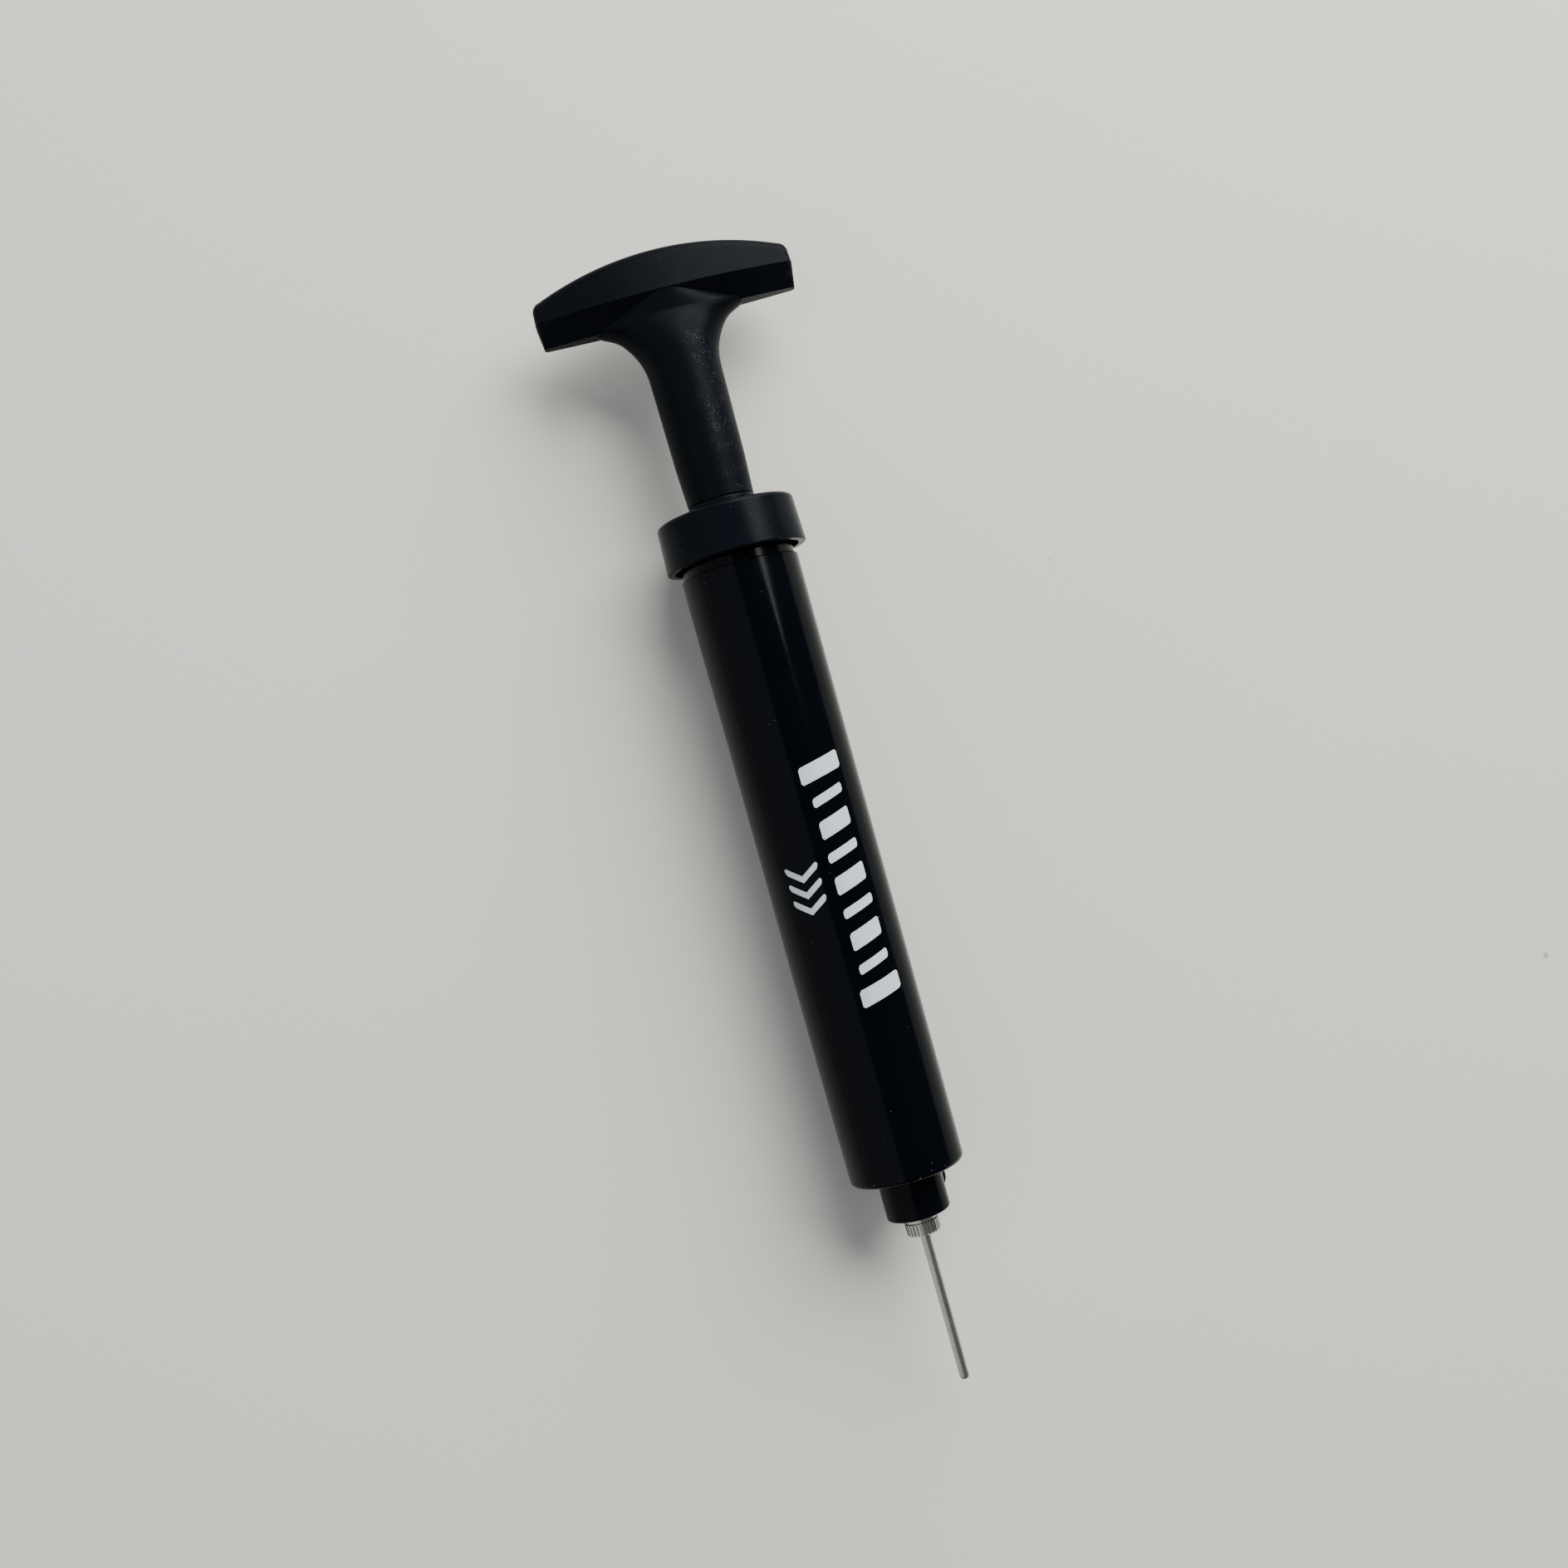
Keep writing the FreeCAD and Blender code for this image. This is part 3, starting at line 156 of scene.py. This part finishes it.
def math_node(nodes, links, operation, first, second):
    """One sum on two values; either may be a plain number."""
    node = nodes.new("ShaderNodeMath")
    node.operation = operation
    for socket, value in zip(node.inputs, (first, second)):
        if isinstance(value, (int, float)):
            socket.default_value = value
        else:
            links.new(value, socket)
    return node.outputs["Value"]


def mix_colour(nodes, links, factor, first, second):
    """Blend two colours; each may be a plain colour or another node's output."""
    node = nodes.new("ShaderNodeMix")
    node.data_type = "RGBA"
    links.new(factor, node.inputs["Factor"])
    for name, value in (("A", first), ("B", second)):
        socket = [s for s in node.inputs if s.name == name and s.type == "RGBA"][0]
        if isinstance(value, tuple):
            socket.default_value = (*value, 1)
        else:
            links.new(value, socket)
    return [s for s in node.outputs if s.type == "RGBA"][0]


def bump(nodes, links, shader, heights):
    """Stack height maps, each (value, depth in metres), onto the shader's normal."""
    normal = None
    for value, depth in heights:
        node = nodes.new("ShaderNodeBump")
        node.inputs["Strength"].default_value = 1.0
        node.inputs["Distance"].default_value = depth
        links.new(value, node.inputs["Height"])
        if normal is not None:
            links.new(normal, node.inputs["Normal"])
        normal = node.outputs["Normal"]
    links.new(normal, shader.inputs["Normal"])


def strip(nodes, links, source, axis, low, high, fade):
    """One between two places along an axis, fading to nothing on both sides."""
    split = nodes.new("ShaderNodeSeparateXYZ")
    links.new(source, split.inputs["Vector"])
    place = split.outputs[axis]
    rising = remap(nodes, links, place, low - fade, low, 0, 1)
    falling = remap(nodes, links, place, high, high + fade, 1, 0)
    return math_node(nodes, links, "MULTIPLY", rising, falling)


# Materials ---------------------------------------------------------------------------

def handle_material():
    """Black moulding with a fine spark-eroded grain, a few worn specks and a painted highlight: light
    specks in a band down the stem.
    """
    material, nodes, links, shader = new_material("handle_plastic")
    place = object_place(nodes)
    cloud = noise(nodes, links, place, 9 * MM, 4)
    grain = noise(nodes, links, place, 0.16 * MM, 2, 0.6)
    coarse = noise(nodes, links, place, 0.5 * MM, 3, 0.6)
    specks = cells(nodes, links, place, 0.36 * MM)
    rub_and_glint_noise = noise(nodes, links, place, 3.5 * MM, 5, 0.7)
    dots = remap(nodes, links, specks, 0.16, 0.30, 1, 0)
    patch = remap(nodes, links, rub_and_glint_noise, 0.46, 0.62, 0, 1)
    # Painted highlight: light specks in a band at X 2.5 to 5.5 mm down the stem, where the lamp's
    # reflection falls; the few specks elsewhere are wear.
    painted_glint_band = strip(nodes, links, place, "X", 2.5 * MM, 5.5 * MM, 2.5 * MM)
    on_stem = strip(nodes, links, place, "Y", handle_low.y, handle_high.y - 20 * MM, 3 * MM)
    painted_glint_band = math_node(nodes, links, "MULTIPLY", painted_glint_band, on_stem)
    few = remap(nodes, links, rub_and_glint_noise, 0.60, 0.72, 0, 0.5)
    wear_and_painted_glints = math_node(nodes, links, "MAXIMUM", math_node(nodes, links, "MULTIPLY", patch, painted_glint_band), few)
    wear_and_painted_glints = math_node(nodes, links, "MULTIPLY", wear_and_painted_glints, dots)
    base = mix_colour(nodes, links, cloud, (0.0022, 0.0034, 0.0052), (0.0046, 0.0060, 0.0084))
    # Light speck colour: painted highlight in the stem band, real wear elsewhere.
    colour = mix_colour(nodes, links, wear_and_painted_glints, base, (0.090, 0.105, 0.115))
    links.new(colour, shader.inputs["Base Color"])
    links.new(remap(nodes, links, rub_and_glint_noise, 0.35, 0.7, 0.36, 0.27), shader.inputs["Roughness"])
    shader.inputs["Specular IOR Level"].default_value = HANDLE_SHINE
    bump(nodes, links, shader, [(coarse, 0.016 * MM), (grain, 0.012 * MM), (dots, 0.008 * MM)])
    return material


def cap_material():
    """Smoother black moulding with light scuffs and a few dust specks."""
    material, nodes, links, shader = new_material("cap_plastic")
    place = object_place(nodes)
    cloud = noise(nodes, links, place, 5 * MM, 4)
    scuff_place = stretched(nodes, links, place, (1, 4, 1))
    scuffs = noise(nodes, links, scuff_place, 2.2 * MM, 6, 0.75)
    grain = noise(nodes, links, place, 0.25 * MM, 2)
    specks = cells(nodes, links, place, 1.6 * MM)
    dots = remap(nodes, links, specks, 0.05, 0.08, 1, 0)
    scuffed = remap(nodes, links, scuffs, 0.58, 0.76, 0, 1)
    base = mix_colour(nodes, links, cloud, (0.0020, 0.0034, 0.0056), (0.0042, 0.0058, 0.0088))
    marked = mix_colour(nodes, links, scuffed, base, (0.009, 0.012, 0.016))
    colour = mix_colour(nodes, links, dots, marked, (0.06, 0.07, 0.08))
    links.new(colour, shader.inputs["Base Color"])
    links.new(remap(nodes, links, scuffs, 0.35, 0.75, 0.19, 0.29), shader.inputs["Roughness"])
    shader.inputs["Specular IOR Level"].default_value = CAP_SHINE
    bump(nodes, links, shader, [(scuffs, 0.012 * MM), (grain, 0.003 * MM), (dots, 0.012 * MM)])
    return material


def barrel_material():
    """Glossy black with a blue cast: wavy skin, dust, hairlines and nicks at the foot."""
    material, nodes, links, shader = new_material("barrel_plastic")
    place = object_place(nodes)
    cloud = noise(nodes, links, place, 12 * MM, 3)
    wave = noise(nodes, links, place, 2.6 * MM, 2)
    peel = noise(nodes, links, place, 0.7 * MM, 2)
    specks = cells(nodes, links, place, 3.4 * MM)
    lint = cells(nodes, links, place, 1.3 * MM)
    scratch_place = stretched(nodes, links, place, (1, 0.05, 1))
    scratches = noise(nodes, links, scratch_place, 0.35 * MM, 4, 0.8)
    dots = remap(nodes, links, specks, 0.030, 0.045, 1, 0)
    tiny = remap(nodes, links, lint, 0.03, 0.05, 1, 0)
    dust = math_node(nodes, links, "MAXIMUM", dots, tiny)
    hair = remap(nodes, links, scratches, 0.72, 0.80, 0, 1)
    foot = strip(nodes, links, place, "Y", SHOULDER_Y, SHOULDER_Y + 0.7 * MM, 0.8 * MM)
    chips = remap(nodes, links, noise(nodes, links, place, 0.8 * MM, 3, 0.7), 0.66, 0.70, 0, 1)
    nicks = math_node(nodes, links, "MULTIPLY", foot, chips)
    base = mix_colour(nodes, links, cloud, (0.0006, 0.0012, 0.0024), (0.0011, 0.0018, 0.0034))
    dusty = mix_colour(nodes, links, dust, base, (0.045, 0.055, 0.070))
    colour = mix_colour(nodes, links, nicks, dusty, (0.42, 0.43, 0.42))
    links.new(colour, shader.inputs["Base Color"])
    gloss = remap(nodes, links, cloud, 0.3, 0.7, 0.09, 0.15)
    roughness = math_node(nodes, links, "ADD", gloss, math_node(nodes, links, "MULTIPLY", hair, 0.14))
    links.new(roughness, shader.inputs["Roughness"])
    shader.inputs["Specular IOR Level"].default_value = BARREL_SHINE
    heights = [(wave, 0.010 * MM), (peel, 0.0012 * MM), (hair, 0.0015 * MM), (dust, 0.010 * MM)]
    bump(nodes, links, shader, heights)
    return material


def nickel_material():
    """Thin bright nickel plating, a little yellow, with fine turning marks."""
    material, nodes, links, shader = new_material("needle_nickel", metallic=1.0)
    place = object_place(nodes)
    rings = noise(nodes, links, stretched(nodes, links, place, (0.3, 6, 0.3)), 0.4 * MM, 4, 0.7)
    drawn = noise(nodes, links, stretched(nodes, links, place, (6, 0.1, 6)), 0.5 * MM, 4, 0.7)
    cloud = noise(nodes, links, place, 2.5 * MM, 4)
    colour = mix_colour(nodes, links, cloud, (0.36, 0.35, 0.31), (0.56, 0.54, 0.49))
    links.new(colour, shader.inputs["Base Color"])
    links.new(remap(nodes, links, drawn, 0.3, 0.7, 0.20, 0.34), shader.inputs["Roughness"])
    bump(nodes, links, shader, [(rings, 0.004 * MM), (drawn, 0.004 * MM)])
    return material


def steel_material(name, colour_low, colour_high, along):
    """Bright drawn or turned steel; along says which axis the drawing marks follow."""
    material, nodes, links, shader = new_material(name, metallic=1.0)
    place = object_place(nodes)
    lines = noise(nodes, links, stretched(nodes, links, place, along), 0.35 * MM, 4, 0.7)
    cloud = noise(nodes, links, place, 5 * MM, 4)
    grease = noise(nodes, links, place, 9 * MM, 3)
    links.new(mix_colour(nodes, links, cloud, colour_low, colour_high), shader.inputs["Base Color"])
    sheen = math_node(nodes, links, "MULTIPLY", lines, remap(nodes, links, grease, 0.4, 0.7, 0.62, 0.42))
    links.new(sheen, shader.inputs["Roughness"])
    bump(nodes, links, shader, [(lines, 0.003 * MM)])
    return material


def brass_material():
    """Turned brass with a slight dull bloom."""
    material, nodes, links, shader = new_material("brass", metallic=1.0)
    place = object_place(nodes)
    rings = noise(nodes, links, stretched(nodes, links, place, (0.3, 6, 0.3)), 0.4 * MM, 4, 0.7)
    cloud = noise(nodes, links, place, 2 * MM, 4)
    colour = mix_colour(nodes, links, cloud, (0.62, 0.43, 0.17), (0.78, 0.58, 0.27))
    links.new(colour, shader.inputs["Base Color"])
    links.new(remap(nodes, links, cloud, 0.3, 0.7, 0.22, 0.42), shader.inputs["Roughness"])
    bump(nodes, links, shader, [(rings, 0.005 * MM)])
    return material


def acetal_material():
    """Natural white acetal moulding, slightly waxy."""
    material, nodes, links, shader = new_material("inner_plastic")
    place = object_place(nodes)
    cloud = noise(nodes, links, place, 6 * MM, 3)
    grain = noise(nodes, links, place, 0.3 * MM, 2)
    colour = mix_colour(nodes, links, cloud, (0.62, 0.60, 0.54), (0.72, 0.71, 0.66))
    links.new(colour, shader.inputs["Base Color"])
    links.new(remap(nodes, links, cloud, 0.3, 0.7, 0.34, 0.48), shader.inputs["Roughness"])
    shader.inputs["Subsurface Weight"].default_value = 0.15
    shader.inputs["Subsurface Radius"].default_value = (0.002, 0.002, 0.0015)
    bump(nodes, links, shader, [(grain, 0.004 * MM)])
    return material


def rubber_material():
    """Matt black rubber with a slight bloom."""
    material, nodes, links, shader = new_material("seal_rubber")
    place = object_place(nodes)
    cloud = noise(nodes, links, place, 3 * MM, 5)
    grain = noise(nodes, links, place, 0.2 * MM, 3)
    colour = mix_colour(nodes, links, cloud, (0.012, 0.012, 0.012), (0.032, 0.031, 0.030))
    links.new(colour, shader.inputs["Base Color"])
    links.new(remap(nodes, links, cloud, 0.3, 0.7, 0.6, 0.82), shader.inputs["Roughness"])
    bump(nodes, links, shader, [(grain, 0.008 * MM)])
    return material


def felt_material():
    """Dense grey felt: short tangled fibres."""
    material, nodes, links, shader = new_material("felt", roughness=0.95)
    place = object_place(nodes)
    fibres = noise(nodes, links, place, 0.25 * MM, 6, 0.8)
    cloud = noise(nodes, links, place, 1.5 * MM, 3)
    dark = mix_colour(nodes, links, cloud, (0.22, 0.21, 0.19), (0.34, 0.32, 0.29))
    links.new(mix_colour(nodes, links, fibres, dark, (0.50, 0.48, 0.44)), shader.inputs["Base Color"])
    shader.inputs["Sheen Weight"].default_value = 0.3
    bump(nodes, links, shader, [(fibres, 0.06 * MM)])
    return material


def ink_material():
    """Pale blue-grey pad-print ink with pinholes and a slightly uneven lay."""
    material, nodes, links, shader = new_material("print_ink")
    place = object_place(nodes)
    cloud = noise(nodes, links, place, 2.5 * MM, 4)
    fine = noise(nodes, links, place, 0.25 * MM, 4, 0.7)
    holes = remap(nodes, links, cells(nodes, links, place, 0.9 * MM), 0.05, 0.09, 1, 0)
    base = mix_colour(nodes, links, cloud, (0.50, 0.58, 0.64), (0.60, 0.67, 0.72))
    links.new(mix_colour(nodes, links, holes, base, (0.16, 0.19, 0.23)), shader.inputs["Base Color"])
    links.new(remap(nodes, links, fine, 0.3, 0.7, 0.30, 0.42), shader.inputs["Roughness"])
    bump(nodes, links, shader, [(fine, 0.003 * MM)])
    return material


def floor_material():
    """Plain off-white table with a faint mottle and a few crumbs of dirt."""
    material, nodes, links, shader = new_material("table")
    place = object_place(nodes)
    cloud = noise(nodes, links, place, 0.16, 3)
    fine = noise(nodes, links, place, 1.2 * MM, 4)
    crumbs = remap(nodes, links, cells(nodes, links, place, 38 * MM), 0.014, 0.022, 0.6, 0)
    base = mix_colour(nodes, links, cloud, (0.720, 0.720, 0.672), (0.755, 0.755, 0.718))
    colour = mix_colour(nodes, links, crumbs, base, (0.20, 0.18, 0.15))
    links.new(colour, shader.inputs["Base Color"])
    links.new(remap(nodes, links, fine, 0.3, 0.7, 0.50, 0.62), shader.inputs["Roughness"])
    shader.inputs["Specular IOR Level"].default_value = 0.3
    bump(nodes, links, shader, [(fine, 0.02 * MM)])
    return material


def paint_all():
    """Give every CAD node its material."""
    rubber = rubber_material()
    acetal = acetal_material()
    steel = steel_material("rod_steel", (0.42, 0.42, 0.42), (0.56, 0.56, 0.57), (6, 0.1, 6))
    zinc = steel_material("fastener_steel", (0.45, 0.46, 0.48), (0.60, 0.61, 0.63), (2, 2, 2))
    nickel = nickel_material()
    chosen = {
        "handle": handle_material(),
        "cap": cap_material(),
        "barrel": barrel_material(),
        "needle_hub": nickel,
        "needle_tube": nickel,
        "rod": steel,
        "thread_insert": brass_material(),
        "rod_wiper": felt_material(),
    }
    for node in ("piston_cup", "bumper_ring", "cap_gasket", "valve_seat", "needle_washer"):
        chosen[node] = rubber
    for node in ("piston_body", "cup_retainer", "guide_bush", "valve_cage"):
        chosen[node] = acetal
    for node in ("piston_washer", "piston_screw", "valve_ball", "valve_spring"):
        chosen[node] = zinc
    for node, material in chosen.items():
        paint(node, material)


def build_floor():
    """A pale table, large enough to fill any view."""
    bpy.ops.mesh.primitive_grid_add(x_subdivisions=4, y_subdivisions=4, size=6, location=(0, 0, 0))
    floor = bpy.context.object
    floor.name = "table"
    floor.data.materials.append(floor_material())


def area_light(name, direction, distance, size, power, colour):
    """A soft panel that faces the middle of the pump."""
    data = bpy.data.lights.new(name, "AREA")
    data.shape = "RECTANGLE"
    data.size, data.size_y = size
    data.energy = power
    data.color = colour
    light = bpy.data.objects.new(name, data)
    bpy.context.collection.objects.link(light)
    direction = Vector(direction).normalized()
    light.location = direction * distance
    light.rotation_euler = direction.to_track_quat("Z", "Y").to_euler()
    return light


def build_lights():
    """A window beyond the handle's right side, a pale wall on the left and a dim room."""
    window = VIEW_RIGHT * 0.40 + VIEW_UP * 0.85 + Vector((0, 0, 0.60))
    area_light("window", window, 1.8, (1.8, 1.6), 88, (1.0, 0.99, 0.955))
    area_light("wall", (-0.8, 0.0, 0.6), 1.6, (1.7, 2.6), 10.0, (0.94, 0.98, 1.0))
    world = bpy.data.worlds.new("room")
    bpy.context.scene.world = world
    world.use_nodes = True
    background = world.node_tree.nodes["Background"]
    background.inputs["Color"].default_value = (0.95, 0.98, 1.0, 1)
    background.inputs["Strength"].default_value = 0.16


# Print on the barrel -----------------------------------------------------------------

INK_RADIUS = BARREL_RADIUS + 0.02 * MM


def on_barrel(angle, along):
    """A point on the barrel: angle from the top towards +X, and distance along Y."""
    x = INK_RADIUS * math.sin(angle)
    z = AXIS_Z + INK_RADIUS * math.cos(angle)
    return Vector((x, along, z))


def ink_patch(bm, middle, half_angle, centre, half_width, lean, fold=0.0):
    """One printed stroke that runs round the barrel, with rounded corners.

    lean slants it along Y from one end to the other; fold bends it into a chevron.
    """
    corner = 0.5 * MM
    round_share = corner / (half_angle * INK_RADIUS)
    rows = []
    steps = 24
    for i in range(steps + 1):
        t = 2 * i / steps - 1
        into = max(0.0, (abs(t) - 1 + round_share) / round_share)
        width = half_width - corner * (1 - math.sqrt(max(0.0, 1 - into * into)))
        shift = lean * t + fold * abs(t)
        row = []
        for side in (-1, -0.33, 0.33, 1):
            point = on_barrel(middle + half_angle * t, centre + shift + width * side)
            row.append(bm.verts.new(point))
        rows.append(row)
    for first, second in zip(rows, rows[1:]):
        for j in range(3):
            bm.faces.new((first[j], second[j], second[j + 1], first[j + 1]))


def ink_object(name, bm, material):
    """Turn the strokes into one printed layer that moves with the barrel."""
    bmesh.ops.recalc_face_normals(bm, faces=bm.faces)
    mesh = bpy.data.meshes.new(name)
    bm.to_mesh(mesh)
    bm.free()
    mesh.materials.append(material)
    printed = bpy.data.objects.new(name, mesh)
    bpy.context.collection.objects.link(printed)
    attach(printed, "barrel_group")


def build_print():
    """Plain slanted bars and three chevrons, printed where the barrel carries its marks."""
    ink = ink_material()
    bars = bmesh.new()
    count = 9
    span = 49.6 * MM
    pitch = span / (count - 1)
    slant = 1.1 * MM
    for i in range(count):
        tall = 22 if i in (0, count - 1) else 16.5
        half_width = (1.95 if i % 2 == 0 else 1.05) * MM
        centre = PRINT_Y - span / 2 + pitch * i
        ink_patch(bars, math.radians(18.5), math.radians(tall), centre, half_width, slant)
    ink_object("printed_bars", bars, ink)
    chevrons = bmesh.new()
    for i in (-1, 0, 1):
        centre = PRINT_Y + 3.6 * MM * i - 1.2 * MM
        ink_patch(chevrons, math.radians(-26.5), math.radians(17), centre, 0.75 * MM, 0, 2.6 * MM)
    ink_object("printed_chevrons", chevrons, ink)


paint_all()
build_floor()
build_lights()
build_print()
